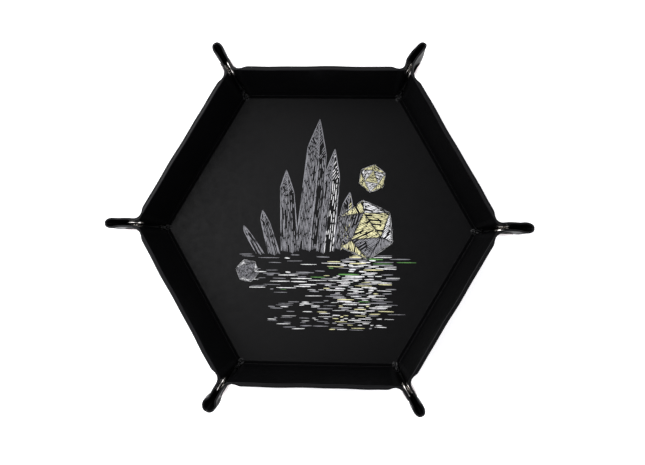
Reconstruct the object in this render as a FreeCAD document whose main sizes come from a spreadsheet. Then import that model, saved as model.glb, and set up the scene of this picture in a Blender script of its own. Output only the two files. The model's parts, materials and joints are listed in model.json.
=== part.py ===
"""Folding dice tray: a hexagonal leather-covered sheet whose six walls fold up and snap at the corners.

A flat lining sheet makes the inside of the whole tray, stiff boards lie behind it, and a cover sheet is
pressed over the boards from behind and glued to the lining between them. The walls bend at creases round the
base. The leather between two walls has no board in it: it is pinched outwards into an ear, made of two flaps
that a snap fastener holds face to face.

The frame has +Z up and its origin at the middle of the underside. Walls and corners are numbered
anticlockwise seen from above. Corner 1 points along +X, and wall 1 is between corner 1 and corner 2. Each
wall, and each flap with its half of the snap, is drawn lying flat beside the base and is then folded up into
place. Creases and bends turn about lines in the glued face between cover and lining, which is at Z 0 in the
flat drawings of walls and flaps.
"""

import FreeCAD, Part
import math
import os
import Sketcher

from FreeCAD import Placement, Rotation, Vector

SIDES = 6
CORNER_STEP = 360 / SIDES

DIMENSIONS = {
    "crease_apothem": ("87", "middle of the tray to the crease line of a wall"),
    "fold_angle": ("80", "how far a wall is folded up from flat, in degrees"),
    "wall_length": ("40", "crease line to the rim, along the wall"),
    "cover_thick": ("0.6", "leather cover, underneath and outside"),
    "board_thick": ("1.5", "stiff board"),
    "lining_thick": ("0.6", "leather lining, on top and inside"),
    "glue_line": ("0.05", "between the two leathers of a flap"),
    "base_leather_back": ("0.9", "base leathers' edge, back from the crease line"),
    "wall_leather_start": ("0.15", "wall leathers' edge, out from the crease line"),
    "floor_apothem": ("85", "middle of the tray to the edge of its boarded middle"),
    "wall_raise_start": ("2", "lower edge of the wall's boarded part, out from the crease line"),
    "wall_raise_margin": ("5.5", "end of the wall's boarded part, back from the corner"),
    "ear_offset": ("2.2", "middle of an ear to the glued face of a flap"),
    "flap_wall_gap": ("0.85", "wall leathers' edge, back from the flap's bend"),
    "flap_start_gap": ("0.1", "flap's edge, out from its bend"),
    "flap_seam_gap": ("0.3", "flap's edge, back from the ear's fold"),
    "flap_bottom": ("1", "lower edge of a flap, out from the crease line"),
    "tip_radius": ("6", "rounded outer corner of the flat sheet"),
    "snap_out": ("7.2", "snap's centre, beyond the corner along the rim"),
    "snap_up": ("29", "snap's centre, up the wall from the crease line"),
    "snap_hole_radius": ("1.6", "hole for the snap's post"),
    "post_radius": ("1.5", "post of a snap cap"),
    "post_reach": ("0.5", "post's length past the leather"),
    "cap_radius": ("6", "snap cap"),
    "cap_edge": ("0.4", "thickness of a snap cap at its edge"),
    "cap_height": ("1.3", "thickness of a snap cap at its middle"),
    "socket_radius": ("5.5", "socket ring"),
    "socket_height": ("1.9", "socket ring"),
    "socket_top_radius": ("4.7", "flat top of the socket ring"),
    "socket_shoulder": ("1.2", "height of the socket ring's straight side"),
    "socket_web": ("0.5", "plate at the bottom of the socket"),
    "socket_bore_radius": ("2.35", "hole that takes the stud's head"),
    "stud_radius": ("4.5", "stud's flange"),
    "stud_flange": ("0.5", "stud's flange at its edge"),
    "stud_shoulder_radius": ("3.5", "top of the flange's slope"),
    "stud_shoulder": ("0.8", "height of the flange's slope"),
    "stud_neck_radius": ("1.75", "stud under its head"),
    "stud_neck": ("1.4", "top of the stud's neck"),
    "stud_head_radius": ("1.95", "stud's head"),
    "stud_head": ("1.7", "where the head is widest"),
    "stud_height": ("2.3", "whole stud"),
    "stud_bore": ("0.6", "depth of the hole that takes the cap's post"),
}

# Every removal of material in the part is larger than this, in cubic millimetres.
SMALLEST_CUT = 1.0

# Expressions shared by several sub-parts, all bound to the sheet. Where they use 30 degrees, it is half of the
# turn from one wall to the next.
HALF_EDGE = "(sizes.crease_apothem * tan(30))"
COVER_AND_LINING = "(sizes.cover_thick + sizes.lining_thick)"
RAISE_HEIGHT = "(sizes.board_thick + sizes.cover_thick)"
# A flap's bend stays at one distance from the middle of the ear, so it leans outwards by this slope.
BEND_SLOPE = "(cos(sizes.fold_angle) * tan(30))"
BEND_INSET = "(sizes.ear_offset / cos(30))"

doc = FreeCAD.newDocument("FoldingDiceTray")
sheet = doc.addObject("Spreadsheet::Sheet", "sizes")
for row, (alias, (number, meaning)) in enumerate(DIMENSIONS.items(), start=1):
    sheet.set(f"A{row}", alias.replace("_", " "))
    sheet.set(f"B{row}", number)
    sheet.set(f"C{row}", meaning)
    sheet.setAlias(f"B{row}", alias)
doc.recompute()


def value(expression):
    """The number that an expression over the sheet gives now."""
    result = sheet.evalExpression(str(expression))
    return float(getattr(result, "Value", result))


def new_body(label):
    """An empty body under its own label."""
    body = doc.addObject("PartDesign::Body", label)
    body.Label = label
    return body


def sketch_on(body, name, role="XY_Plane"):
    """A sketch on one of the body's own origin planes."""
    sketch = body.newObject("Sketcher::SketchObject", name)
    plane = next(item for item in body.Origin.OriginFeatures if item.Role == role)
    sketch.AttachmentSupport = (plane, "")
    sketch.MapMode = "FlatFace"
    return sketch


def bind(sketch, kind, where, expression):
    """Adds one dimension to a sketch and binds it to the sheet."""
    index = sketch.addConstraint(Sketcher.Constraint(kind, *where, value(expression)))
    sketch.setExpression(f"Constraints[{index}]", expression)


def outline(sketch, corners, arcs=None):
    """Draws a closed outline through corners, each a pair of expressions, and binds every corner.

    arcs gives, by the number of its first corner, a round edge's radius and a point that it passes through.
    """
    arcs = arcs or {}
    points = [Vector(value(x), value(y), 0) for x, y in corners]
    count = len(points)
    for i in range(count):
        end = points[(i + 1) % count]
        if i in arcs:
            through = Vector(value(arcs[i][1]), value(arcs[i][2]), 0)
            sketch.addGeometry(Part.Arc(points[i], through, end), False)
        else:
            sketch.addGeometry(Part.LineSegment(points[i], end), False)
    first_end = [arc_ends(sketch, i, points[i]) for i in range(count)]
    for i in range(count):
        after = (i + 1) % count
        sketch.addConstraint(
            Sketcher.Constraint("Coincident", i, 3 - first_end[i], after, first_end[after])
        )
    for i, (x, y) in enumerate(corners):
        bind(sketch, "DistanceX", (-1, 1, i, first_end[i]), x)
        bind(sketch, "DistanceY", (-1, 1, i, first_end[i]), y)
    for i, (radius, _, _) in arcs.items():
        bind(sketch, "Radius", (i,), radius)


def arc_ends(sketch, index, start):
    """1 if an edge's first end is at start, and 2 if it runs the other way, as a clockwise arc does."""
    return 1 if (sketch.getPoint(index, 1) - start).Length < 1e-6 else 2


def circle(sketch, x, y, radius):
    """Adds a bound circle to a sketch."""
    centre = Vector(value(x), value(y), 0)
    index = sketch.addGeometry(Part.Circle(centre, Vector(0, 0, 1), value(radius)), False)
    bind(sketch, "DistanceX", (-1, 1, index, 3), x)
    bind(sketch, "DistanceY", (-1, 1, index, 3), y)
    bind(sketch, "Radius", (index,), radius)


def hexagon(apothem):
    """The corners of the tray's hexagon, corner 1 along +X."""
    turns = [CORNER_STEP * i for i in range(SIDES)]
    return [(f"{apothem} / cos(30) * cos({turn})", f"{apothem} / cos(30) * sin({turn})") for turn in turns]


def pad(body, sketch, length, name="Pad"):
    """Raises a sketch by a bound length."""
    feature = body.newObject("PartDesign::Pad", name)
    feature.Profile = sketch
    feature.setExpression("Length", length)
    sketch.Visibility = False
    return feature


def hollow(body, sketch, depth):
    """Cuts a sketch upwards into the body and makes sure that something was cut away."""
    doc.recompute()
    before = body.Shape.Volume
    feature = body.newObject("PartDesign::Pocket", "BoardSpace")
    feature.Profile = sketch
    feature.Reversed = True
    feature.setExpression("Length", depth)
    doc.recompute()
    removed = before - body.Shape.Volume
    if removed < SMALLEST_CUT:
        raise RuntimeError(f"{body.Label}: the space for the board was not cut")
    return feature


def plate(label, corners, thickness):
    """A flat piece of one thickness."""
    body = new_body(label)
    sketch = sketch_on(body, "Outline")
    outline(sketch, corners)
    pad(body, sketch, thickness)
    return body


def pressed_cover(label, flange, raised, board):
    """A cover: a flange glued to the lining at Z 0, pressed over a board by one thickness all round.

    It is drawn upside down, with its outside up.
    """
    body = new_body(label)
    for name, corners, height in (
        ("Flange", flange, "sizes.cover_thick"),
        ("Raise", raised, RAISE_HEIGHT),
    ):
        sketch = sketch_on(body, f"{name}Outline")
        outline(sketch, corners)
        pad(body, sketch, height, name)
    sketch = sketch_on(body, "BoardOutline")
    outline(sketch, board)
    hollow(body, sketch, "sizes.board_thick")
    return body


def turned(label, profile, arcs=None):
    """A round piece about its own Z, from a profile of (radius, height) expressions."""
    body = new_body(label)
    sketch = sketch_on(body, "Profile", "XZ_Plane")
    outline(sketch, profile, arcs)
    feature = body.newObject("PartDesign::Revolution", "Revolution")
    feature.Profile = sketch
    feature.ReferenceAxis = (sketch, ["V_Axis"])
    feature.Angle = 360
    sketch.Visibility = False
    return body


def bend_at(side, y, gap):
    """A point of a flap's bend at a height y up the wall, moved along the rim by a gap."""
    x = f"{HALF_EDGE} - {BEND_INSET} + ({y}) * {BEND_SLOPE} + ({gap})"
    return (f"{side} * ({x})", f"{y}")


def wall_sheet(lower, gap):
    """The outline of a wall's leather, from its lower edge to the rim and from bend to bend."""
    rim = "sizes.wall_length"
    return [
        bend_at(-1, lower, gap),
        bend_at(1, lower, gap),
        bend_at(1, rim, gap),
        bend_at(-1, rim, gap),
    ]


def wall_raise(inset):
    """The outline of a wall's boarded part, moved in by an inset all round."""
    half = f"({HALF_EDGE} - sizes.wall_raise_margin - ({inset}))"
    low = f"sizes.wall_raise_start + ({inset})"
    high = f"sizes.wall_length - ({inset})"
    return [(f"-{half}", low), (half, low), (half, high), (f"-{half}", high)]


def flap_layer(label, side, thickness):
    """One leather of a flap, drawn flat in its wall's frame, with a rounded tip and the snap's hole.

    The tip's edge turns by 30 degrees, so its middle is at 15.
    """
    seam = "sizes.flap_seam_gap"
    rim = "sizes.wall_length"
    tip = "sizes.tip_radius"
    centre_x = f"({HALF_EDGE} + ({rim} - {tip}) * tan(30))"
    centre_y = f"({rim} - {tip})"
    reach = f"sqrt({tip} ^ 2 - {seam} ^ 2)"
    arc_end_x = f"({centre_x} + {reach} * sin(30) - {seam} * cos(30))"
    arc_end_y = f"{centre_y} + {reach} * cos(30) + {seam} * sin(30)"
    seam_bottom_x = f"({HALF_EDGE} + sizes.flap_bottom * tan(30) - {seam} / cos(30))"
    corners = [
        bend_at(side, "sizes.flap_bottom", "sizes.flap_start_gap"),
        bend_at(side, rim, "sizes.flap_start_gap"),
        (f"{side} * {centre_x}", rim),
        (f"{side} * {arc_end_x}", arc_end_y),
        (f"{side} * {seam_bottom_x}", "sizes.flap_bottom"),
    ]
    middle = (f"{side} * ({centre_x} + {tip} * sin(15))", f"{centre_y} + {tip} * cos(15)")
    body = new_body(label)
    sketch = sketch_on(body, "Outline")
    outline(sketch, corners, {2: (tip, *middle)})
    circle(sketch, f"{side} * ({HALF_EDGE} + sizes.snap_out)", "sizes.snap_up", "sizes.snap_hole_radius")
    pad(body, sketch, thickness)
    return body


def snap_cap(label):
    """A domed cap whose post goes through the leather. Its seat on the leather is at Z 0."""
    radius = "sizes.cap_radius"
    rise = "(sizes.cap_height - sizes.cap_edge)"
    dome = f"(({radius} ^ 2 + {rise} ^ 2) / (2 * {rise}))"
    half_way = f"({radius} / 2)"
    through = (half_way, f"sizes.cap_height - {dome} + sqrt({dome} ^ 2 - {half_way} ^ 2)")
    post_end = f"-({COVER_AND_LINING} + sizes.post_reach)"
    profile = [
        ("0", post_end),
        ("sizes.post_radius", post_end),
        ("sizes.post_radius", "0"),
        (radius, "0"),
        (radius, "sizes.cap_edge"),
        ("0", "sizes.cap_height"),
    ]
    return turned(label, profile, {4: (dome, *through)})


def snap_socket(label):
    """The ring that takes the stud. Its seat on the leather is at Z 0."""
    return turned(
        label,
        [
            ("sizes.snap_hole_radius", "0"),
            ("sizes.socket_radius", "0"),
            ("sizes.socket_radius", "sizes.socket_shoulder"),
            ("sizes.socket_top_radius", "sizes.socket_height"),
            ("sizes.socket_bore_radius", "sizes.socket_height"),
            ("sizes.socket_bore_radius", "sizes.socket_web"),
            ("sizes.snap_hole_radius", "sizes.socket_web"),
        ],
    )


def snap_stud(label):
    """The flanged stud, with a blind hole for its cap's post. Its seat on the leather is at Z 0."""
    return turned(
        label,
        [
            ("sizes.snap_hole_radius", "0"),
            ("sizes.stud_radius", "0"),
            ("sizes.stud_radius", "sizes.stud_flange"),
            ("sizes.stud_shoulder_radius", "sizes.stud_shoulder"),
            ("sizes.stud_neck_radius", "sizes.stud_shoulder"),
            ("sizes.stud_neck_radius", "sizes.stud_neck"),
            ("sizes.stud_head_radius", "sizes.stud_head"),
            ("sizes.post_radius", "sizes.stud_height"),
            ("0", "sizes.stud_height"),
            ("0", "sizes.stud_bore"),
            ("sizes.snap_hole_radius", "sizes.stud_bore"),
        ],
    )


# Turns a piece that is drawn with its outside up. It keeps Y, and every such piece is the same both ways along X.
OUTSIDE_DOWN = Placement(Vector(), Rotation(Vector(0, 1, 0), 180))


def moved(x=0.0, y=0.0, z=0.0):
    """A placement that only moves."""
    return Placement(Vector(x, y, z), Rotation())


def wall_frame(number):
    """Where a wall's flat drawing goes: X along the crease, Y up the wall and Z into the tray."""
    facing = CORNER_STEP * (number - 0.5)
    turn = Placement(Vector(), Rotation(Vector(0, 0, 1), facing - 90))
    crease = moved(y=value("sizes.crease_apothem"), z=value(RAISE_HEIGHT))
    fold = Placement(Vector(), Rotation(Vector(1, 0, 0), value("sizes.fold_angle")))
    return turn * crease * fold


def flap_frame(number, side):
    """Where the flat drawing of a flap goes: folded out about its bend until it faces the other flap.

    The angle is the one between the wall and the upright plane through the middle of the ear.
    """
    x = side * value(f"{HALF_EDGE} - {BEND_INSET}")
    hinge = Vector(x, 0, 0)
    bend = Vector(side * value(BEND_SLOPE), 1, 0)
    half_corner = math.radians(CORNER_STEP / 2)
    upright = math.sin(math.radians(value("sizes.fold_angle")))
    angle = math.degrees(math.acos(math.sin(half_corner) * upright))
    return wall_frame(number) * Placement(Vector(), Rotation(bend, side * angle), hinge)


def make_base(pieces):
    """The flat middle of the tray, standing on its cover."""
    glued = moved(z=value(RAISE_HEIGHT))
    leather = hexagon("(sizes.crease_apothem - sizes.base_leather_back)")
    board_edge = hexagon("(sizes.floor_apothem - sizes.cover_thick)")
    cover = pressed_cover("base_cover", leather, hexagon("sizes.floor_apothem"), board_edge)
    cover.Placement = glued * OUTSIDE_DOWN
    board = plate("base_board", board_edge, "sizes.board_thick")
    board.Placement = glued * OUTSIDE_DOWN
    inside = plate("base_lining", leather, "sizes.lining_thick")
    inside.Placement = glued
    pieces += [cover, board, inside]


def make_wall(number, pieces):
    """One wall: cover, board and lining."""
    frame = wall_frame(number)
    leather = wall_sheet("sizes.wall_leather_start", "-sizes.flap_wall_gap")
    board_edge = wall_raise("sizes.cover_thick")
    cover = pressed_cover(f"wall_{number}_cover", leather, wall_raise("0"), board_edge)
    cover.Placement = frame * OUTSIDE_DOWN
    board = plate(f"wall_{number}_board", board_edge, "sizes.board_thick")
    board.Placement = frame * OUTSIDE_DOWN
    inside = plate(f"wall_{number}_lining", leather, "sizes.lining_thick")
    inside.Placement = frame
    pieces += [cover, board, inside]


def make_flap(number, side, name, fastener, pieces):
    """One half of an ear: its two leathers as one node, the cap outside and a fastener inside."""
    frame = flap_frame(number, side)
    outer_face = -value("sizes.cover_thick")
    inner_face = value("sizes.lining_thick")
    outer = flap_layer(f"{name}_flap_cover", side, "sizes.cover_thick - sizes.glue_line / 2")
    outer.Placement = frame * moved(z=outer_face)
    inner = flap_layer(f"{name}_flap_lining", side, "sizes.lining_thick - sizes.glue_line / 2")
    inner.Placement = frame * moved(z=value("sizes.glue_line / 2"))
    flap = doc.addObject("Part::Compound", f"{name}_flap")
    flap.Links = [outer, inner]
    snap_x = side * value(f"{HALF_EDGE} + sizes.snap_out")
    snap_y = value("sizes.snap_up")
    cap = snap_cap(f"{name}_cap")
    cap.Placement = frame * moved(snap_x, snap_y, outer_face) * OUTSIDE_DOWN
    held = fastener(name)
    held.Placement = frame * moved(snap_x, snap_y, inner_face)
    pieces += [flap, cap, held]


def make_corner(number, pieces):
    """The ear between two walls: a stud on the flap of the wall that follows, a socket on the other one."""
    wall_after = number
    wall_before = (number - 2) % SIDES + 1
    make_flap(wall_after, 1, f"corner_{number}_stud", snap_stud, pieces)
    make_flap(wall_before, -1, f"corner_{number}_socket", snap_socket, pieces)


def check(pieces):
    """Stops if any object failed or any piece isn't a sound solid."""
    failed = [item.Label for item in doc.Objects if "Invalid" in item.State or "Error" in item.State]
    if failed:
        raise RuntimeError(f"objects that failed: {failed}")
    for piece in pieces:
        shape = piece.Shape
        if shape.isNull() or not shape.isValid() or not shape.Solids or shape.Volume <= 0:
            raise RuntimeError(f"{piece.Label} is not a sound solid")


def write(pieces):
    """One STEP file for each piece, named after it."""
    os.makedirs("parts", exist_ok=True)
    for piece in pieces:
        piece.Shape.exportStep(os.path.join("parts", f"{piece.Label}.step"))


made = []
make_base(made)
for index in range(1, SIDES + 1):
    make_wall(index, made)
for index in range(1, SIDES + 1):
    make_corner(index, made)
doc.recompute()
check(made)
write(made)
print(f"{len(made)} pieces written")
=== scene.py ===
"""Looks of the folding dice tray: leather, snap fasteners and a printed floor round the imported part.

Lengths here are in millimetres and angles in radians, and meshes are scaled to metres when they are made.
Leather is drawn in a wall's own frame (x, r, h): x along the rim, r out from the middle of the tray, h up.
"""

import json
import math
import random

import bmesh
import bpy
import numpy as np

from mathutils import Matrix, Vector


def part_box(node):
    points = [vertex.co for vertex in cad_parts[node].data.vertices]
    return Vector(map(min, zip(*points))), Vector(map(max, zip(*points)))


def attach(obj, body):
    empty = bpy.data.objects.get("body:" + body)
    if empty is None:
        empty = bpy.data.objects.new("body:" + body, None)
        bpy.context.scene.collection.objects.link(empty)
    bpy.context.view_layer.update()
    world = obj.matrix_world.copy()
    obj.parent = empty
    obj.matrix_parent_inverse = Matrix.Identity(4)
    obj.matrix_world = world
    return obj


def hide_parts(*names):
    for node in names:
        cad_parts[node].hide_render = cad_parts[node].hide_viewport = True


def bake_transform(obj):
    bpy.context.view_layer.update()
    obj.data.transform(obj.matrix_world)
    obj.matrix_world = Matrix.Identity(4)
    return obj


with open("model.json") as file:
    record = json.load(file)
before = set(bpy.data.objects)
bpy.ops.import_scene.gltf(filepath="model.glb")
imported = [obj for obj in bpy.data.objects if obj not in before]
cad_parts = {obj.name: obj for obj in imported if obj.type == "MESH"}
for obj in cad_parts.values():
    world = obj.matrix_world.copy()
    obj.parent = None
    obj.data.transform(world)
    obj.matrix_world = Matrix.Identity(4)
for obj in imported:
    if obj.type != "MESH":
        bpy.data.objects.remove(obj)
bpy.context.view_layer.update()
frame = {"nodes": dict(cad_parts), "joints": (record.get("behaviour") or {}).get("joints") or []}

MM = 0.001
MERGE = 1e-6
SIDES = 6
CORNER_STEP = math.radians(360 / SIDES)
TAN30 = math.tan(math.radians(30))

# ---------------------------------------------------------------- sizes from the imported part
joints = {joint["name"]: joint for joint in frame["joints"]}
FOLD = math.radians(joints["wall_1_fold"]["range_deg"][1])
CREASE_R = math.hypot(*joints["wall_1_fold"]["pos_m"][:2]) / MM
CREASE_H = joints["wall_1_fold"]["pos_m"][2] / MM
EAR_OFFSET = joints["corner_1_stud_bend"]["pos_m"][1] / MM
FLOOR_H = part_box("base_lining")[1].z / MM
LEATHER = FLOOR_H - CREASE_H
BOARD = CREASE_H - LEATHER
WALL = (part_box("wall_2_lining")[1].z / MM - CREASE_H - LEATHER * math.cos(FOLD)) / math.sin(FOLD)
CAP_LOW, CAP_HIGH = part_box("corner_1_stud_cap")
SNAP_U = (CAP_LOW.x + CAP_HIGH.x) / 2 / MM
SNAP_H = (CAP_LOW.z + CAP_HIGH.z) / 2 / MM

HALF_EDGE = CREASE_R * TAN30
UP = np.array([0, math.cos(FOLD), math.sin(FOLD)])
INWARD = np.array([0, -math.sin(FOLD), math.cos(FOLD)])
ALONG = np.array([1.0, 0, 0])
CREASE = np.array([0, CREASE_R, CREASE_H])

# A flap bends about a line that leans along the rim by this slope, and turns by this angle.
SLOPE = math.cos(FOLD) * TAN30
BEND_X = HALF_EDGE - EAR_OFFSET / math.cos(math.radians(30))
TURN = math.acos(0.5 * math.sin(FOLD))
LEAN = math.hypot(1, SLOPE)
BEND_UP = (SLOPE * ALONG + UP) / LEAN
BEND_OUT = (ALONG - SLOPE * UP) / LEAN
BEND_BASE = CREASE + BEND_X * ALONG

# ---------------------------------------------------------------- sizes of the looks
# A wall's leather is thick over its board up to PAD_END, and thins over PAD_SLOPE.
PAD_END = 43.0
PAD_SLOPE = 5.8
# Where a wall's own leather stops along the rim, at its crease and for each millimetre up the wall.
SKIN_END = 45.3
SKIN_END_RISE = 0.045
# Below FOOT_TOP the wall's leather runs on under the ear, up to FOOT_END.
FOOT_TOP = 3.0
FOOT_FADE = 1.8
FOOT_END = 49.9
# The painted edge between two leathers: its rounding, and the depth of the glue line in its middle.
EDGE_ROUND = 0.45
EDGE_SEAM = 0.14
RIM_ZONE = 1.4
# The floor ends at FLOOR_EDGE, and a groove lies between it and the wall.
FLOOR_EDGE = 84.0
# How far each side of its bend an ear's lining and cover turn.
INNER_BEND = 1.25
OUTER_BEND = 2.5
OUTER_BEND_RIM = 4.4
# An ear's flaps run side by side up to LOOP_START from the bend, and then open into a loop.
LOOP_START = 13.0
TIP_RADIUS = 6.0
TIP_STRETCH = 1.8
TIP_LONGEST = 5.2
# The board's lower edge shows as a low ridge in the lining.
BOARD_RIDGE = 0.12
# An ear's rim leans to one side above this height up the wall.
LEAN_FROM = 32.5
# Ink stands this far above the floor.
INK = 0.03


def smoothstep(t):
    t = np.clip(t, 0, 1)
    return t * t * (3 - 2 * t)


def in_wall(x, y, z):
    """Points of a wall's flat frame (x along the crease, y up the wall, z into the tray) as (x, r, h)."""
    x, y, z = np.broadcast_arrays(x, y, z)
    return CREASE + x[..., None] * ALONG + y[..., None] * UP + z[..., None] * INWARD


def place(points, number):
    """(x, r, h) points of wall number in the row frame, still in millimetres."""
    azimuth = CORNER_STEP * (number - 0.5)
    across, out = points[..., 0], points[..., 1]
    return np.stack(
        [
            out * math.cos(azimuth) + across * math.sin(azimuth),
            out * math.sin(azimuth) - across * math.cos(azimuth),
            points[..., 2],
        ],
        axis=-1,
    )


def new_mesh(name, points, faces, materials, indices=None, merge=False):
    """A smooth mesh object from points in millimetres, with a material index for each face."""
    mesh = bpy.data.meshes.new(name)
    mesh.from_pydata((np.asarray(points, float) * MM).tolist(), [], faces)
    for material in materials:
        mesh.materials.append(material)
    mesh.polygons.foreach_set("use_smooth", [True] * len(mesh.polygons))
    if indices is not None:
        mesh.polygons.foreach_set("material_index", indices)
    mesh.update()
    if merge:
        shape = bmesh.new()
        shape.from_mesh(mesh)
        bmesh.ops.remove_doubles(shape, verts=shape.verts, dist=MERGE)
        shape.to_mesh(mesh)
        shape.free()
    piece = bpy.data.objects.new(name, mesh)
    bpy.context.scene.collection.objects.link(piece)
    return piece


def loft(grid, closed=True, flip=False):
    """Points and faces of a surface through rings. grid is rings x points x 3."""
    rings, count, _ = grid.shape
    faces = []
    for i in range(rings - 1):
        for j in range(count if closed else count - 1):
            after = (j + 1) % count
            face = (i * count + j, i * count + after, (i + 1) * count + after, (i + 1) * count + j)
            faces.append(face[::-1] if flip else face)
    return grid.reshape(-1, 3), faces


def curve_through(points, pieces):
    """A smooth line through a few points (Catmull-Rom), with that many pieces between each two."""
    points = np.asarray(points, float)
    before = np.vstack([2 * points[0] - points[1], points, 2 * points[-1] - points[-2]])
    line = []
    for i in range(1, len(before) - 2):
        a, b, c, d = before[i - 1 : i + 3]
        for step in range(pieces):
            t = step / pieces
            bent = (2 * a - 5 * b + 4 * c - d) * t**2 + (3 * b - a - 3 * c + d) * t**3
            line.append(0.5 * (2 * b + (c - a) * t + bent))
    line.append(points[-1])
    return np.array(line)


def rim_profile(thickness):
    """The rounded edge from lining to cover: each point's drop below the rim, and its share of the way."""
    angles = np.radians([0, 22, 45, 68, 90])
    share = EDGE_ROUND * (1 - np.cos(angles)) / thickness
    drop = EDGE_ROUND * (1 - np.sin(angles))
    seam_share = np.array([0.42, 0.5, 0.58])
    seam_drop = np.array([0.02, EDGE_SEAM, 0.02])
    return (
        np.concatenate([drop, seam_drop, drop[::-1]]),
        np.concatenate([share, seam_share, 1 - share[::-1]]),
    )


# ---------------------------------------------------------------- materials


def node_tree(name):
    material = bpy.data.materials.new(name)
    material.use_nodes = True
    tree = material.node_tree
    shader = tree.nodes["Principled BSDF"]
    return material, tree, shader


def noise(tree, where, scale, detail=3.0, roughness=0.5):
    node = tree.nodes.new("ShaderNodeTexNoise")
    node.inputs["Scale"].default_value = scale
    node.inputs["Detail"].default_value = detail
    node.inputs["Roughness"].default_value = roughness
    tree.links.new(where, node.inputs["Vector"])
    return node.outputs["Fac"]


def spread(tree, factor, low, high):
    """Maps a noise's usual range to a value between low and high."""
    node = tree.nodes.new("ShaderNodeMapRange")
    node.inputs["From Min"].default_value = 0.3
    node.inputs["From Max"].default_value = 0.7
    node.inputs["To Min"].default_value = low
    node.inputs["To Max"].default_value = high
    tree.links.new(factor, node.inputs["Value"])
    return node.outputs["Result"]


def ramp(tree, factor, stops):
    """Maps a factor to a colour. stops is (place, colour) pairs."""
    node = tree.nodes.new("ShaderNodeValToRGB")
    elements = node.color_ramp.elements
    while len(elements) < len(stops):
        elements.new(0.5)
    for element, (at, colour) in zip(elements, stops):
        element.position = at
        element.color = (*colour, 1)
    tree.links.new(factor, node.inputs["Fac"])
    return node.outputs["Color"]


def bump(tree, height, strength, distance, normal=None):
    node = tree.nodes.new("ShaderNodeBump")
    node.inputs["Strength"].default_value = strength
    node.inputs["Distance"].default_value = distance
    tree.links.new(height, node.inputs["Height"])
    if normal is not None:
        tree.links.new(normal, node.inputs["Normal"])
    return node.outputs["Normal"]


def object_coordinates(tree):
    return tree.nodes.new("ShaderNodeTexCoord").outputs["Object"]


def leather_material(name, dark, light, roughness, grain, specular):
    """Smooth artificial leather: fine pebbled grain, faint clouding, and creases that shine a little more."""
    material, tree, shader = node_tree(name)
    where = object_coordinates(tree)
    clouds = noise(tree, where, 60, 4)
    tree.links.new(ramp(tree, clouds, [(0.3, dark), (0.7, light)]), shader.inputs["Base Color"])
    rub = noise(tree, where, 260, 5, 0.6)
    tree.links.new(spread(tree, rub, *roughness), shader.inputs["Roughness"])
    shader.inputs["Specular IOR Level"].default_value = specular
    pebbles = tree.nodes.new("ShaderNodeTexVoronoi")
    pebbles.feature = "SMOOTH_F1"
    pebbles.inputs["Scale"].default_value = 1500
    pebbles.inputs["Smoothness"].default_value = 0.8
    tree.links.new(where, pebbles.inputs["Vector"])
    fine = bump(tree, pebbles.outputs["Distance"], grain, 0.00008)
    wrinkles = bump(tree, noise(tree, where, 420, 6, 0.62), grain * 1.2, 0.00010, fine)
    tree.links.new(wrinkles, shader.inputs["Normal"])
    return material


def metal_material(name, colour, roughness):
    """Polished nickel with fine turning marks and a few dull patches."""
    material, tree, shader = node_tree(name)
    where = object_coordinates(tree)
    shader.inputs["Metallic"].default_value = 1.0
    clouds = noise(tree, where, 300, 4)
    darker = tuple(c * 0.86 for c in colour)
    tree.links.new(ramp(tree, clouds, [(0.3, darker), (0.65, colour)]), shader.inputs["Base Color"])
    tree.links.new(spread(tree, noise(tree, where, 900, 5, 0.65), *roughness), shader.inputs["Roughness"])
    tree.links.new(bump(tree, noise(tree, where, 2600, 3), 0.08, 0.00004), shader.inputs["Normal"])
    return material


def ink_material(name, colour, worn):
    """Printing ink on leather, thin and a little worn where the grain shows through."""
    material, tree, shader = node_tree(name)
    where = object_coordinates(tree)
    wear = noise(tree, where, 900, 5, 0.7)
    tree.links.new(ramp(tree, wear, [(0.36, worn), (0.5, colour)]), shader.inputs["Base Color"])
    tree.links.new(spread(tree, wear, 0.42, 0.6), shader.inputs["Roughness"])
    tree.links.new(bump(tree, noise(tree, where, 1500, 4), 0.2, 0.00005), shader.inputs["Normal"])
    return material


def board_material():
    """Grey board: pressed fibres with darker flecks."""
    material, tree, shader = node_tree("greyboard")
    where = object_coordinates(tree)
    fibres = noise(tree, where, 700, 8, 0.7)
    stops = [(0.3, (0.2, 0.19, 0.17)), (0.5, (0.36, 0.34, 0.31)), (0.75, (0.44, 0.42, 0.38))]
    tree.links.new(ramp(tree, fibres, stops), shader.inputs["Base Color"])
    tree.links.new(spread(tree, fibres, 0.8, 0.95), shader.inputs["Roughness"])
    tree.links.new(bump(tree, fibres, 0.4, 0.0001), shader.inputs["Normal"])
    return material


LINING = leather_material(
    "lining_black",
    dark=(0.0004, 0.0004, 0.0006),
    light=(0.0007, 0.0007, 0.0010),
    roughness=(0.34, 0.44),
    grain=0.22,
    specular=0.15,
)
COVER = leather_material(
    "cover_black",
    dark=(0.0007, 0.0007, 0.0009),
    light=(0.0011, 0.0011, 0.0014),
    roughness=(0.32, 0.44),
    grain=0.30,
    specular=0.21,
)
EDGE = leather_material(
    "painted_edge",
    dark=(0.0011, 0.0011, 0.0015),
    light=(0.0020, 0.0020, 0.0026),
    roughness=(0.30, 0.42),
    grain=0.14,
    specular=0.15,
)
# The caps and the snap parts between an ear's layers are one nickel. The inner parts get a much lighter,
# warmer copy of it: a painted glint on metal that sits in the shade of the ear's narrow gap.
NICKEL = metal_material("nickel", (0.54, 0.50, 0.495), (0.10, 0.22))
NICKEL_PAINTED_GLINT = metal_material("nickel_inside_painted_glint", (0.80, 0.765, 0.72), (0.12, 0.22))
GREYBOARD = board_material()
SILVER_INK = ink_material("ink_silver", (0.25, 0.25, 0.27), (0.13, 0.13, 0.14))
WHITE_INK = ink_material("ink_white", (0.85, 0.85, 0.85), (0.45, 0.45, 0.45))
CREAM_INK = ink_material("ink_cream", (0.80, 0.76, 0.42), (0.42, 0.40, 0.20))
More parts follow.
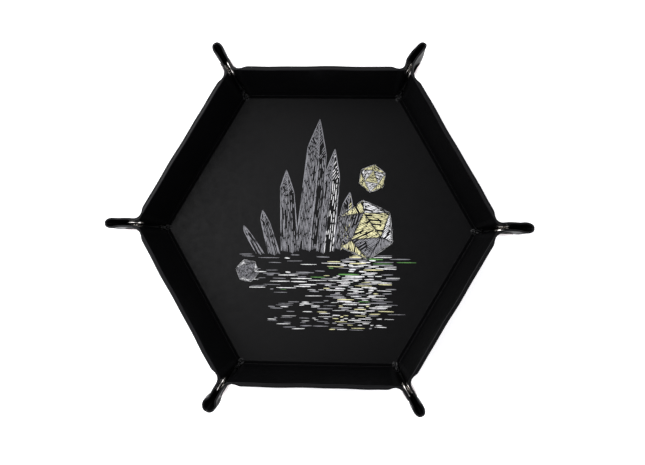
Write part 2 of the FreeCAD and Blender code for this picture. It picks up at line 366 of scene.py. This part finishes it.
GREEN_INK = ink_material("ink_green", (0.10, 0.30, 0.06), (0.04, 0.10, 0.03))

# ---------------------------------------------------------------- leather of a wall


def pad(x):
    """1 where a wall is boarded, falling to 0 where its leather runs on into an ear."""
    return 1 - smoothstep((np.abs(x) - PAD_END) / PAD_SLOPE)


def skin_end(y):
    """How far along the rim a wall's own skin goes before the ear's leather takes over."""
    return SKIN_END + SKIN_END_RISE * y


def with_rim(inner, thickness, back):
    """A wall's section as (height up the wall, distance inwards): lining, rounded rim and cover."""
    drop, share = rim_profile(thickness)
    rim = np.stack([WALL - drop, LEATHER - share * thickness], axis=1)
    return np.vstack([inner, rim, back]), len(rim)


def wall_sections():
    """A wall's section where it is boarded, where it isn't, and the first and last points of its rim."""
    heights = np.concatenate([np.linspace(2.35, 6.6, 16), np.linspace(8.0, WALL - RIM_ZONE, 14)])
    inner = np.stack([heights, np.full(len(heights), LEATHER)], axis=1)
    low = -LEATHER - BOARD
    board_foot = [(4.0, low), (3.1, low + 0.04), (2.3, low + 0.35), (2.0, low + 1.0), (1.75, -LEATHER)]
    board_back = [(y, low) for y in np.linspace(WALL - RIM_ZONE, 5.0, 14)]
    raised_back = np.vstack([board_back, curve_through(board_foot, 3)])
    flat_back = raised_back.copy()
    flat_back[:, 1] = -LEATHER
    raised, rim_count = with_rim(inner, 2 * LEATHER + BOARD, raised_back)
    flat, _ = with_rim(inner, 2 * LEATHER, flat_back)
    return raised, flat, (len(inner), len(inner) + rim_count - 1)


def wall_rings(number):
    """A wall's leather as rings round its cross-section: cove, lining, rim, cover and the groove below."""
    cove = curve_through(
        [(FLOOR_EDGE, FLOOR_H), (84.4, FLOOR_H - 0.05), (85.1, FLOOR_H - 0.24), (85.7, FLOOR_H - 0.42)]
        + [(86.15, FLOOR_H - 0.56), (86.33, FLOOR_H - 0.46), (86.47, FLOOR_H + 0.1), (86.64, 3.8)],
        4,
    )
    crease = curve_through(
        [(CREASE_R + 0.62, CREASE_H + 0.35), (CREASE_R + 0.3, 1.72), (CREASE_R - 0.4, 1.52), (84.4, 1.5)], 4
    )
    crease_x = crease[:, 0] * TAN30 - 0.5
    raised, flat, (first_rim, last_rim) = wall_sections()
    stations = np.concatenate([np.linspace(0, 0.84, 22), np.linspace(0.86, 1, 16)])
    stations = np.concatenate([-stations[::-1], stations[1:]])
    foot = (FOOT_END - skin_end(0)) * smoothstep((FOOT_TOP - raised[:, 0]) / FOOT_FADE)
    reach = np.where(raised[:, 0] < FOOT_TOP, skin_end(0) + foot, skin_end(raised[:, 0]))
    generator = random.Random(40 + number)
    phases = [generator.uniform(0, 6.3) for _ in range(4)]
    rings = []
    for station in stations:
        cove_x = station * cove[:, 0] * TAN30
        x = station * reach
        amount = pad(x)[:, None]
        wall = raised * amount + flat * (1 - amount)
        calm = smoothstep((42 - np.abs(x)) / 12) * smoothstep((wall[:, 0] - 3) / 12)
        near_floor = smoothstep((wall[:, 0] - 1.9) / 1.0) * smoothstep((6.2 - wall[:, 0]) / 3.2)
        wall[:, 1] += BOARD_RIDGE * near_floor * smoothstep((43.5 - np.abs(x)) / 5) * (wall[:, 1] > 0)
        wave = 0.16 * np.sin(x / 9.5 + phases[0]) + 0.10 * np.sin(x / 4.3 + wall[:, 0] / 13 + phases[1])
        lift = 0.14 * np.sin(x / 14 + phases[2]) * smoothstep((wall[:, 0] - 25) / 15)
        middle = in_wall(x, wall[:, 0] + lift * calm, wall[:, 1] + wave * calm)
        start = np.stack([cove_x, cove[:, 0], cove[:, 1]], axis=1)
        end = np.stack([station * crease_x, crease[:, 0], crease[:, 1]], axis=1)
        rings.append(np.vstack([start, middle, end]))
    return np.array(rings), (len(cove) + first_rim, len(cove) + last_rim)


def make_wall_skin(number):
    grid, (rim_from, rim_to) = wall_rings(number)
    count = grid.shape[1]
    points, faces = loft(place(grid, number))
    indices = [1 if rim_from <= face % count < rim_to else 0 for face in range(len(faces))]
    piece = new_mesh(f"wall_{number}_skin", points, faces, [LINING, EDGE], indices)
    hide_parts(f"wall_{number}_cover", f"wall_{number}_lining")
    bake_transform(piece)


# ---------------------------------------------------------------- leather of an ear


def bend_line(distance, reach):
    """A point of a section across a bend, where the leather turns within reach of it: (p, q) and its turn."""
    radius = reach / math.tan(TURN / 2)
    turned = np.clip((distance + reach) / (2 * reach), 0, 1) * TURN
    p = -reach + radius * np.sin(turned)
    q = radius * (1 - np.cos(turned))
    p = np.where(distance < -reach, distance, np.where(distance > reach, distance * math.cos(TURN), p))
    q = np.where(distance < -reach, 0, np.where(distance > reach, distance * math.sin(TURN), q))
    return p, q, turned


def outer_reach(y, seam):
    """How far each side of the bend the outside of the leather turns."""
    nominal = OUTER_BEND + (OUTER_BEND_RIM - OUTER_BEND) * smoothstep((y - 30) / (WALL - 30))
    return np.minimum(nominal, 0.42 * seam)


def ear_surface(zone, t, y, share, style):
    """A point of one half of an ear, on the side where x is positive.

    zone is bend, flank or turn, and t runs through it. y is the height up the wall, and share goes from 0 at
    the lining's face to 1 at the cover's. p and q are distances from the bend line, along the wall and out.
    """
    bend_x = BEND_X + SLOPE * y
    grow = smoothstep((y - 14) / (WALL - 14))
    seam = (HALF_EDGE + y * TAN30 - bend_x) / LEAN - LEATHER + (LEATHER + style["reach"]) * grow
    outer = outer_reach(y, seam)
    spare = smoothstep((seam - 2.4 - LOOP_START) / 5.5)
    half_width = EAR_OFFSET + (style["half_width"] - EAR_OFFSET) * spare
    tip = np.minimum(TIP_STRETCH * np.maximum(half_width, 2.0), TIP_LONGEST)
    turn_start = np.maximum(seam - tip, outer)
    if zone == "bend":
        begin = (skin_end(y) - bend_x) / LEAN
        distance = begin + t * (outer - begin)
        x = bend_x + distance * LEAN
        p_in, q_in, turned_in = bend_line(distance, np.minimum(INNER_BEND, outer))
        p_out, q_out, turned_out = bend_line(distance, outer)
        thick_out = LEATHER + BOARD * pad(x)
        p_in, q_in = p_in + LEATHER * np.sin(turned_in), q_in - LEATHER * np.cos(turned_in)
        p_out, q_out = p_out - thick_out * np.sin(turned_out), q_out + thick_out * np.cos(turned_out)
    else:
        if zone == "flank":
            along = outer + t * (turn_start - outer)
            room = np.maximum(turn_start - LOOP_START, 0.5)
            swell = smoothstep((along - LOOP_START) / room)
            v = EAR_OFFSET + (half_width - EAR_OFFSET) * swell
            inside = np.clip((along - LOOP_START) / room, 0, 1)
            rise = (half_width - EAR_OFFSET) * 6 * inside * (1 - inside) / room
            normal_along, normal_v = -rise, np.ones_like(rise)
        else:
            angle = t * math.pi / 2
            length = seam - turn_start
            along = turn_start + length * np.sin(angle)
            v = half_width * np.cos(angle)
            normal_along, normal_v = half_width * np.sin(angle), length * np.cos(angle)
        size = np.hypot(normal_along, normal_v)
        normal_along, normal_v = normal_along / size, normal_v / size
        sides = []
        for offset in (-LEATHER, LEATHER):
            a = along + offset * normal_along
            b = v - EAR_OFFSET + offset * normal_v
            sides.append((a * math.cos(TURN) - b * math.sin(TURN), a * math.sin(TURN) + b * math.cos(TURN)))
        (p_in, q_in), (p_out, q_out) = sides
        x = bend_x + along * LEAN
        distance = along
    up_bend = ((bend_x - BEND_X) * SLOPE + y) / LEAN
    lean = style["lean"] * smoothstep((y - LEAN_FROM) / (WALL - LEAN_FROM))
    lean = lean * smoothstep((distance + 1.5) / 9) * (1 - 0.7 * smoothstep((distance - 9) / 14))
    p = p_in * (1 - share) + p_out * share - lean * math.sin(TURN)
    q = q_in * (1 - share) + q_out * share + lean * math.cos(TURN)
    return (
        BEND_BASE
        + np.asarray(up_bend)[..., None] * BEND_UP
        + np.asarray(p)[..., None] * BEND_OUT
        - np.asarray(q)[..., None] * INWARD
    )


# The rounded lower edge of an ear's leather: (height above it, share of the thickness).
EDGE_FOOT = np.array([(0.0, 0.5), (0.05, 0.22), (0.2, 0.06)])
FACE_STEPS = 30


def rim_drop(zone, t):
    """How far the rim of an ear sinks towards the rounded corner at its tip."""
    if zone == "turn":
        return TIP_RADIUS - math.sqrt(TIP_RADIUS**2 - (1.0 + 2.2 * t) ** 2)
    if zone == "flank":
        return 0.08 * smoothstep((t - 0.8) / 0.2)
    return 0


def ear_rings(style):
    """Half of an ear as rings from lining to cover, in steps from the wall to the fold at its tip."""
    columns = [("bend", t) for t in np.linspace(0, 1, 17)]
    columns += [("flank", t) for t in np.linspace(0, 1, 25)[1:]]
    columns += [("turn", t) for t in np.linspace(0, 1, 13)[1:]]
    rings = []
    for index, (zone, t) in enumerate(columns):
        done = index / (len(columns) - 1)
        low = 1.5 - smoothstep(done / 0.35)
        top = WALL - rim_drop(zone, t)
        bulge = 0
        if zone == "bend":
            bulge = 0.85 * math.sin(math.pi * t) + BOARD * pad(skin_end(WALL)) * (1 - t) ** 3
        drop, share = rim_profile(2 * LEATHER + bulge)
        foot, foot_share = low + EDGE_FOOT[:, 0], EDGE_FOOT[:, 1]
        face = np.linspace(low + EDGE_ROUND, top - RIM_ZONE, FACE_STEPS)
        lining, cover = np.zeros(FACE_STEPS), np.ones(FACE_STEPS)
        y = np.concatenate([foot, face, top - drop, face[::-1], foot[::-1]])
        part = np.concatenate([foot_share, lining, share, cover, 1 - foot_share[::-1]])
        rings.append(ear_surface(zone, np.full(len(y), t), y, part, style))
    first = len(EDGE_FOOT) + FACE_STEPS
    return np.array(rings), (first, first + len(drop) - 1)


def make_ear_half(number, side, style):
    """One half of an ear. side is 1 for the half with the stud, on the wall that follows the corner."""
    kind = "stud" if side > 0 else "socket"
    wall = number if side > 0 else (number - 2) % SIDES + 1
    grid, (rim_from, rim_to) = ear_rings({**style, "lean": style["lean"] * side})
    count = grid.shape[1]
    grid = grid * np.array([side, 1, 1])
    points, faces = loft(place(grid, wall), flip=side < 0)
    indices = [1 if rim_from <= face % count < rim_to else 0 for face in range(len(faces))]
    piece = new_mesh(f"corner_{number}_{kind}_leather", points, faces, [COVER, EDGE], indices)
    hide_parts(f"corner_{number}_{kind}_flap")
    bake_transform(piece)


# ---------------------------------------------------------------- snap fasteners


def lathe(profile, steps=64):
    """Points and faces of a profile of (radius, height) turned about Z."""
    angles = np.arange(steps) * 2 * math.pi / steps
    grid = np.array([[(r * math.cos(a), r * math.sin(a), h) for a in angles] for r, h in profile])
    return loft(grid)


# Profiles of the turned parts, as (radius, height above the leather) pairs.
CAP_POST = [(1.2, -0.9), (1.45, -0.85), (1.5, -0.6), (1.5, 0.0)]
CAP_ROLLED_EDGE = [(4.6, 0.0), (5.55, 0.0), (5.85, 0.05), (6.0, 0.22), (5.98, 0.42), (5.8, 0.56), (5.6, 0.60)]
CAP_DOME = [(4.8, 0.74), (4.0, 0.93), (3.0, 1.11), (2.0, 1.23), (1.0, 1.29), (0.02, 1.3)]
CAP_PROFILE = CAP_POST + CAP_ROLLED_EDGE + [(5.45, 0.57), (5.25, 0.60)] + CAP_DOME
SOCKET_WALL = [(1.6, 0.0), (5.3, 0.0), (5.5, 0.15), (5.5, 0.9), (5.35, 1.15), (5.1, 1.3), (4.95, 1.55)]
SOCKET_TOP = [(4.75, 1.82), (4.45, 1.9), (4.1, 1.86), (3.7, 1.62), (3.3, 1.62), (2.95, 1.84), (2.65, 1.9)]
SOCKET_BORE = [(2.42, 1.8), (2.35, 1.6), (2.35, 0.6), (2.25, 0.5), (1.6, 0.5)]
SOCKET_PROFILE = SOCKET_WALL + SOCKET_TOP + SOCKET_BORE
STUD_FLANGE = [(0.02, 0.55), (1.5, 0.55), (1.6, 0.4), (1.6, 0.0), (4.3, 0.0), (4.5, 0.12), (4.5, 0.38)]
STUD_NECK = [(4.3, 0.52), (3.7, 0.74), (3.4, 0.8), (2.0, 0.82), (1.82, 0.95), (1.75, 1.2), (1.8, 1.45)]
STUD_HEAD = [(1.93, 1.62), (1.95, 1.8), (1.82, 2.08), (1.5, 2.26), (1.1, 2.3), (0.9, 2.2), (0.02, 2.15)]
STUD_PROFILE = STUD_FLANGE + STUD_NECK + STUD_HEAD


def make_snap(number, side, part, profile, seat, facing, material):
    """A turned part of a snap. seat is its distance from the ear's middle, and facing is 1 or -1."""
    kind = "stud" if side > 0 else "socket"
    points, faces = lathe(profile)
    turned = np.stack([points[:, 0], facing * points[:, 2] + seat, points[:, 1]], axis=1)
    azimuth = CORNER_STEP * (number - 1)
    u = turned[:, 0] + SNAP_U
    v = turned[:, 1]
    world = np.stack(
        [
            u * math.cos(azimuth) - v * math.sin(azimuth),
            u * math.sin(azimuth) + v * math.cos(azimuth),
            turned[:, 2] + SNAP_H,
        ],
        axis=1,
    )
    if facing > 0:
        faces = [face[::-1] for face in faces]
    suffix = "_cap" if part == "cap" else ""
    piece = new_mesh(f"corner_{number}_{kind}_snap_{part}", world, faces, [material])
    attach(piece, f"corner_{number}_{kind}_half")
    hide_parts(f"corner_{number}_{kind}{suffix}")


def make_snaps(number):
    inner = EAR_OFFSET - LEATHER
    outer = EAR_OFFSET + LEATHER
    make_snap(number, 1, "cap", CAP_PROFILE, outer, 1, NICKEL)
    make_snap(number, -1, "cap", CAP_PROFILE, -outer, -1, NICKEL)
    # The stud and socket inside the ear take the lighter nickel, with its painted glint.
    make_snap(number, 1, "stud", STUD_PROFILE, inner, -1, NICKEL_PAINTED_GLINT)
    make_snap(number, -1, "socket", SOCKET_PROFILE, -inner, 1, NICKEL_PAINTED_GLINT)


# ---------------------------------------------------------------- base


SIDE_POINTS = 25


def hexagon_ring(apothem, height, corner=0.0):
    """A ring of points round the tray's hexagon, its corners rounded by a radius."""
    points = []
    inner = apothem - corner
    half = inner * TAN30
    centre = inner / math.cos(math.radians(30))
    for i in range(SIDES):
        azimuth = CORNER_STEP * (i + 0.5)
        ca, sa = math.cos(azimuth), math.sin(azimuth)
        for k in range(SIDE_POINTS):
            x = half * (1 - 2 * k / (SIDE_POINTS - 1))
            points.append((apothem * ca + x * sa, apothem * sa - x * ca, height))
        if corner > 0:
            tip = CORNER_STEP * (i + 1)
            for turn in (-15, 0, 15):
                at = tip + math.radians(turn)
                x = centre * math.cos(tip) + corner * math.cos(at)
                y = centre * math.sin(tip) + corner * math.sin(at)
                points.append((x, y, height))
    return points


FLOOR_RINGS = (0.05, 8, 18, 28, 38, 48, 58, 66, 74, 80, FLOOR_EDGE)
# The underside from its middle to the groove beside the walls: (apothem, height) pairs.
UNDER_PROFILE = (
    [(0.05, 0.0), (30, 0.0), (60, 0.0), (78, 0.0), (83.6, 0.0), (84.2, 0.05), (84.7, 0.28), (84.95, 0.65)]
    + [(85.0, 1.0), (85.02, 1.3), (85.2, 1.48), (85.6, 1.54)]
)
UNDER_CORNER = 2.2


def make_base():
    """The floor that dice land on, and the tray's underside."""
    points, faces = loft(np.array([hexagon_ring(a, FLOOR_H) for a in FLOOR_RINGS]))
    top = new_mesh("base_floor", points, faces, [LINING], merge=True)
    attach(top, "base")
    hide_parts("base_lining")
    rings = [hexagon_ring(a, h, min(UNDER_CORNER, a / 2)) for a, h in UNDER_PROFILE]
    points, faces = loft(np.array(rings), flip=True)
    under = new_mesh("base_underside", points, faces, [COVER], merge=True)
    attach(under, "base")
    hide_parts("base_cover")


# The gathers in a floor corner: distances from the middle of the tray, and how wide and high they are there.
PUCKER_AT = [94.5, 97, 99, 101, 102.2]
PUCKER_HALF = [0.4, 2.2, 2.9, 2.0, 1.2]
PUCKER_RISE_AT = [94.5, 96.5, 99, 101, 102.2]
PUCKER_RISE = [-0.2, 0.05, 0.7, 2.0, 3.3]
PUCKER_LUMPS = ((96.8, 0.55), (98.4, 0.8), (99.9, 1.0), (101.4, 1.0))


def ear_fold_height(u):
    """The lowest height that is inside the ear's fold at a distance u from the middle of the tray."""
    return 2.4 + (u - 99.8) / 0.72


def make_pucker(number):
    """The gathered leather in a floor corner, where the ear's fold starts."""
    generator = random.Random(600 + number)
    lumps = []
    for at, high in PUCKER_LUMPS:
        along, across = at + generator.uniform(-0.3, 0.3), generator.uniform(-0.9, 0.9)
        lumps.append((along, across, high, generator.uniform(0.55, 0.8)))
    us = np.linspace(PUCKER_AT[0], PUCKER_AT[-1], 44)
    shares = np.linspace(-1, 1, 27)
    grid = np.zeros((len(us), len(shares), 3))
    for i, u in enumerate(us):
        half = np.interp(u, PUCKER_AT, PUCKER_HALF)
        v = shares * half
        rise = np.interp(u, PUCKER_RISE_AT, PUCKER_RISE)
        bumps = sum(h * np.exp(-(((u - lu) / lw) ** 2) - ((v - lv) / 1.1) ** 2) for lu, lv, h, lw in lumps)
        fold = 0.28 * np.cos(v * 3.4 + 1.3 * u + number) * smoothstep((u - 95.5) / 2)
        sides = (0.4 + rise) * np.abs(shares) ** 3
        grid[i, :, 0] = u
        grid[i, :, 1] = v
        tuck = sides + 0.3 * np.abs(shares) ** 8
        height = FLOOR_H + rise + bumps + fold * (1 - np.abs(shares) ** 2) - tuck
        grid[i, :, 2] = np.maximum(height, ear_fold_height(u))
    azimuth = CORNER_STEP * (number - 1)
    u, v = grid[..., 0].copy(), grid[..., 1].copy()
    grid[..., 0] = u * math.cos(azimuth) - v * math.sin(azimuth)
    grid[..., 1] = u * math.sin(azimuth) + v * math.cos(azimuth)
    points, faces = loft(grid, closed=False)
    piece = new_mesh(f"corner_{number}_pucker", points, faces, [COVER])
    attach(piece, "base")


# ---------------------------------------------------------------- print on the floor


class Print:
    """Ink strokes, each a thin tapered shape just above the floor."""

    def __init__(self, seed):
        self.random = random.Random(seed)
        self.points = []
        self.faces = []
        self.inks = []

    def stroke(self, start, end, width, ink):
        """One stroke, pointed at both ends and widest near its middle."""
        x0, y0 = start
        x1, y1 = end
        length = math.hypot(x1 - x0, y1 - y0)
        if length < 0.4:
            return
        nx, ny = -(y1 - y0) / length, (x1 - x0) / length
        first = len(self.points)
        steps = 4 if length < 8 else 8
        sides = ([], [])
        for k in range(steps + 1):
            t = k / steps
            half = width / 2 * (0.25 + 0.75 * math.sin(math.pi * min(max(t, 0.04), 0.96)) ** 0.6)
            half *= self.random.uniform(0.75, 1.2)
            x, y = x0 + (x1 - x0) * t, y0 + (y1 - y0) * t
            sides[0].append((x + nx * half, y + ny * half, FLOOR_H + INK))
            sides[1].append((x - nx * half, y - ny * half, FLOOR_H + INK))
        self.points += sides[0] + sides[1]
        for k in range(steps):
            a, b = first + k, first + k + 1
            self.faces.append((a, a + steps + 1, b + steps + 1, b))
            self.inks.append(ink)

    def outline(self, corners, width, ink):
        for a, b in zip(corners, corners[1:] + corners[:1]):
            self.stroke(a, b, width, ink)

    def hatch(self, corners, angle, gap, width, ink, keep=0.85, broken=7.0):
        """Broken parallel strokes that fill a convex shape."""
        ca, sa = math.cos(angle), math.sin(angle)
        turned = [(x * ca + y * sa, -x * sa + y * ca) for x, y in corners]
        low = min(y for _, y in turned)
        high = max(y for _, y in turned)
        y = low + gap * 0.6
        while y < high:
            crossings = []
            for (ax, ay), (bx, by) in zip(turned, turned[1:] + turned[:1]):
                if (ay - y) * (by - y) < 0:
                    crossings.append(ax + (bx - ax) * (y - ay) / (by - ay))
            if len(crossings) == 2:
                x, stop = sorted(crossings)
                x += gap * 0.4
                while x < stop - gap * 0.4:
                    reach = min(x + broken * self.random.uniform(0.4, 1.3), stop - gap * 0.4)
                    if self.random.random() < keep:
                        wobble = self.random.uniform(-0.12, 0.12)
                        marks = ((x, y + wobble), (reach, y - wobble))
                        ends = [(px * ca - py * sa, px * sa + py * ca) for px, py in marks]
                        self.stroke(*ends, width * self.random.uniform(0.7, 1.3), ink)
                    x = reach + gap * self.random.uniform(0.3, 1.2)
            y += gap * self.random.uniform(0.85, 1.15)


SILVER, WHITE, CREAM, GREEN = range(4)


def draw_die(art, centre, radius, spin, inks):
    """A twenty-sided die seen square to one face, its faces hatched."""
    cx, cy = centre

    def at(share, degrees):
        a = math.radians(degrees) + spin
        return (cx + radius * share * math.cos(a), cy + radius * share * math.sin(a))

    rim = [at(1, 90 + 60 * k) for k in range(6)]
    face = [at(0.58, 90 + 120 * k) for k in range(3)]
    facets = [face]
    for k in range(3):
        near, far = face[k], face[(k + 1) % 3]
        facets.append([near, far, rim[2 * k + 1]])
        facets.append([near, rim[2 * k], rim[2 * k + 1]])
        facets.append([near, rim[2 * k], rim[(2 * k - 1) % 6]])
    for index, facet in enumerate(facets):
        ink = inks[index % len(inks)]
        angle = math.radians(20 + 47 * index) + spin
        art.hatch(facet, angle, radius * 0.048, radius * 0.036, ink, keep=0.88, broken=radius * 0.4)
        art.outline(facet, radius * 0.035, SILVER if index % 3 else WHITE)
    art.outline(rim, radius * 0.05, WHITE)


def draw_crystal(art, foot, top, half, ridge, inks):
    """A tall crystal: two long faces that meet on a ridge, under a slanted point."""
    fx, fy = foot
    tx, ty = top
    shoulder = 0.78
    left_low, right_low = (fx - half, fy), (fx + half, fy)
    left_high = (fx - half * 0.8 + (tx - fx) * shoulder, fy + (ty - fy) * shoulder)
    right_high = (fx + half * 0.8 + (tx - fx) * shoulder, fy + (ty - fy) * (shoulder - 0.06))
    ridge_low = (fx + half * ridge, fy - half * 0.3)
    ridge_high = (fx + half * ridge * 0.7 + (tx - fx) * shoulder, fy + (ty - fy) * (shoulder - 0.1))
    lean = math.atan2(ty - fy, tx - fx)
    art.hatch([left_low, ridge_low, ridge_high, left_high], lean, 0.85, 0.56, inks[0], 0.9, 9)
    art.hatch([ridge_low, right_low, right_high, ridge_high], lean, 1.25, 0.5, inks[1], 0.7, 6)
    art.hatch([left_high, ridge_high, (tx, ty)], lean + 0.5, 0.8, 0.5, inks[0], 0.9, 4)
    art.hatch([ridge_high, right_high, (tx, ty)], lean - 0.5, 1.1, 0.44, inks[1], 0.75, 4)
    for path in ([left_low, left_high, (tx, ty), right_high, right_low], [ridge_low, ridge_high, (tx, ty)]):
        for a, b in zip(path, path[1:]):
            art.stroke(a, b, 0.65, inks[0])


def make_print():
    """A generic picture of the builder's own: crystals and dice over water, with their reflections."""
    art = Print(77)
    draw_crystal(art, (-8, -12), (-1, 71), 7.5, 0.2, (SILVER, SILVER))
    draw_crystal(art, (3.5, -14), (9, 52), 5.5, -0.2, (SILVER, WHITE))
    draw_crystal(art, (-19, -14), (-22, 38), 5.5, 0.3, (SILVER, SILVER))
    draw_crystal(art, (-29, -16), (-37, 12), 3.6, 0.1, (SILVER, SILVER))
    draw_crystal(art, (-38, -16), (-49, 2), 2.6, 0.2, (SILVER, SILVER))
    draw_crystal(art, (13, -12), (19, 24), 4.2, 0.1, (SILVER, CREAM))
    draw_die(art, (29, 0), 19, 0.1, (CREAM, SILVER, CREAM, WHITE, SILVER))
    draw_die(art, (33, 33), 9, -0.15, (CREAM, WHITE, CREAM))
    draw_die(art, (-46, -27), 7.5, 0.35, (SILVER, SILVER, WHITE))
    for row in range(48):
        y = -16.5 - 1.0 * row
        depth = row / 47
        left = -54 + 26 * depth**2
        right = 50 - 9 * depth + art.random.uniform(-7, 2)
        x = left + art.random.uniform(0, 8)
        while x < right:
            length = art.random.uniform(2.5, 15) * (1 - 0.3 * depth)
            near = math.exp(-(((x - 22) / 27) ** 2))
            if art.random.random() < 0.30 + 0.56 * near:
                pick = art.random.random()
                if pick < 0.06 and depth < 0.75:
                    ink = GREEN
                elif near > 0.45 and pick < 0.20:
                    ink = CREAM
                elif pick < 0.40 + 0.4 * near:
                    ink = WHITE
                else:
                    ink = SILVER
                tilt = art.random.uniform(-0.25, 0.25)
                width = art.random.uniform(0.28, 0.66) * (1.15 - 0.3 * depth) * (1 + 0.35 * near)
                art.stroke((x, y), (x + length, y + tilt), width, ink)
            x += length + art.random.uniform(0.6, 5.5)
    inks = [SILVER_INK, WHITE_INK, CREAM_INK, GREEN_INK]
    piece = new_mesh("floor_print", art.points, art.faces, inks, art.inks)
    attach(piece, "base")


# ---------------------------------------------------------------- build the tray

# The loop at each ear's tip: half its width, how far it reaches past the corner of the flat sheet, and how
# far the ear's rim leans towards the stud's side. Anticlockwise from +X.
EAR_STYLES = [
    {"half_width": 2.8, "reach": 1.3, "lean": 1.0},
    {"half_width": 2.0, "reach": 0.3, "lean": 2.2},
    {"half_width": 2.7, "reach": 0.5, "lean": -0.3},
    {"half_width": 2.6, "reach": 1.2, "lean": -0.7},
    {"half_width": 3.9, "reach": 1.1, "lean": -0.4},
    {"half_width": 2.9, "reach": 0.8, "lean": 0.2},
]

make_base()
make_print()
for wall_number in range(1, SIDES + 1):
    make_wall_skin(wall_number)
for corner_number, ear_style in enumerate(EAR_STYLES, start=1):
    make_ear_half(corner_number, 1, ear_style)
    make_ear_half(corner_number, -1, ear_style)
    make_snaps(corner_number)
    make_pucker(corner_number)

for name, node in frame["nodes"].items():
    if name.endswith("_board"):
        node.data.materials.clear()
        node.data.materials.append(GREYBOARD)

# ---------------------------------------------------------------- stage, light and camera

STAGE_HALF = 2500.0
STAGE_H = -0.02
STAGE_GLOW = 0.5
# The tent's dim opening: its direction, the angles from it in degrees where the white starts and the dim
# ends, and the two levels.
TENT_OPENING = (0.52, -0.26, 1.0)
TENT_EDGES = (52, 30)
TENT_BRIGHT = 1.2
TENT_DIM = 0.30
TENT_COLOUR = (0.975, 0.97, 1.02, 1)
CAMERA_PLACE = (32.7, -30.5, 553.5)
CAMERA_TURN = (3.01, 3.17, 0.92)
CAMERA_LENS = 48.30
CAMERA_SENSOR = 36


def make_stage():
    material, tree, shader = node_tree("stage_white")
    clouds = noise(tree, object_coordinates(tree), 2)
    whites = ramp(tree, clouds, [(0.3, (0.9, 0.9, 0.9)), (0.7, (0.93, 0.93, 0.93))])
    tree.links.new(whites, shader.inputs["Base Color"])
    shader.inputs["Roughness"].default_value = 0.9
    shader.inputs["Specular IOR Level"].default_value = 0.1
    shader.inputs["Emission Color"].default_value = (1, 1, 1, 1)
    shader.inputs["Emission Strength"].default_value = STAGE_GLOW
    signs = [(-1, -1), (1, -1), (1, 1), (-1, 1)]
    corners = [(x * STAGE_HALF, y * STAGE_HALF, STAGE_H) for x, y in signs]
    floor = new_mesh("stage_floor", corners, [(0, 1, 2, 3)], [material])


def softbox(name, place_mm, aim_mm, size_mm, watts):
    light = bpy.data.lights.new(name, "AREA")
    light.shape = "RECTANGLE"
    light.size, light.size_y = size_mm[0] * MM, size_mm[1] * MM
    light.energy = watts
    lamp = bpy.data.objects.new(name, light)
    bpy.context.scene.collection.objects.link(lamp)
    start = np.array(place_mm, float)
    direction = np.array(aim_mm, float) - start
    lamp.location = tuple(start * MM)
    lamp.rotation_euler = Vector(direction).to_track_quat("-Z", "Y").to_euler()


def make_world():
    """A white light tent with a dim opening overhead, which leans a little to the right."""
    world = bpy.data.worlds.new("light_tent")
    bpy.context.scene.world = world
    world.use_nodes = True
    tree = world.node_tree
    direction = tree.nodes.new("ShaderNodeTexCoord").outputs["Generated"]
    towards = tree.nodes.new("ShaderNodeVectorMath")
    towards.operation = "DOT_PRODUCT"
    towards.inputs[1].default_value = Vector(TENT_OPENING).normalized()
    tree.links.new(direction, towards.inputs[0])
    level = tree.nodes.new("ShaderNodeMapRange")
    level.interpolation_type = "SMOOTHSTEP"
    level.inputs["From Min"].default_value = math.cos(math.radians(TENT_EDGES[0]))
    level.inputs["From Max"].default_value = math.cos(math.radians(TENT_EDGES[1]))
    level.inputs["To Min"].default_value = TENT_BRIGHT
    level.inputs["To Max"].default_value = TENT_DIM
    tree.links.new(towards.outputs["Value"], level.inputs["Value"])
    background = tree.nodes["Background"]
    background.inputs["Color"].default_value = TENT_COLOUR
    tree.links.new(level.outputs["Result"], background.inputs["Strength"])


def make_lights():
    middle = (0, 0, 0)
    softbox("key_upper_left", (-700, 450, 620), middle, (700, 500), 5.5)
    softbox("fill_right", (800, 120, 520), middle, (600, 500), 2.0)
    softbox("fill_front", (60, -850, 520), middle, (700, 450), 0.9)
    softbox("fill_back", (100, 850, 560), middle, (700, 450), 1.2)
    softbox("overhead_left", (-310, 40, 900), middle, (300, 420), 1.2)


def make_camera():
    camera = bpy.data.cameras.new("camera")
    camera.sensor_width = CAMERA_SENSOR
    camera.lens = CAMERA_LENS
    holder = bpy.data.objects.new("camera", camera)
    holder.location = [along * MM for along in CAMERA_PLACE]
    holder.rotation_euler = [math.radians(turn) for turn in CAMERA_TURN]
    bpy.context.scene.collection.objects.link(holder)
    bpy.context.scene.camera = holder


bpy.context.scene.view_settings.view_transform = "Standard"
make_stage()
make_world()
make_lights()
make_camera()
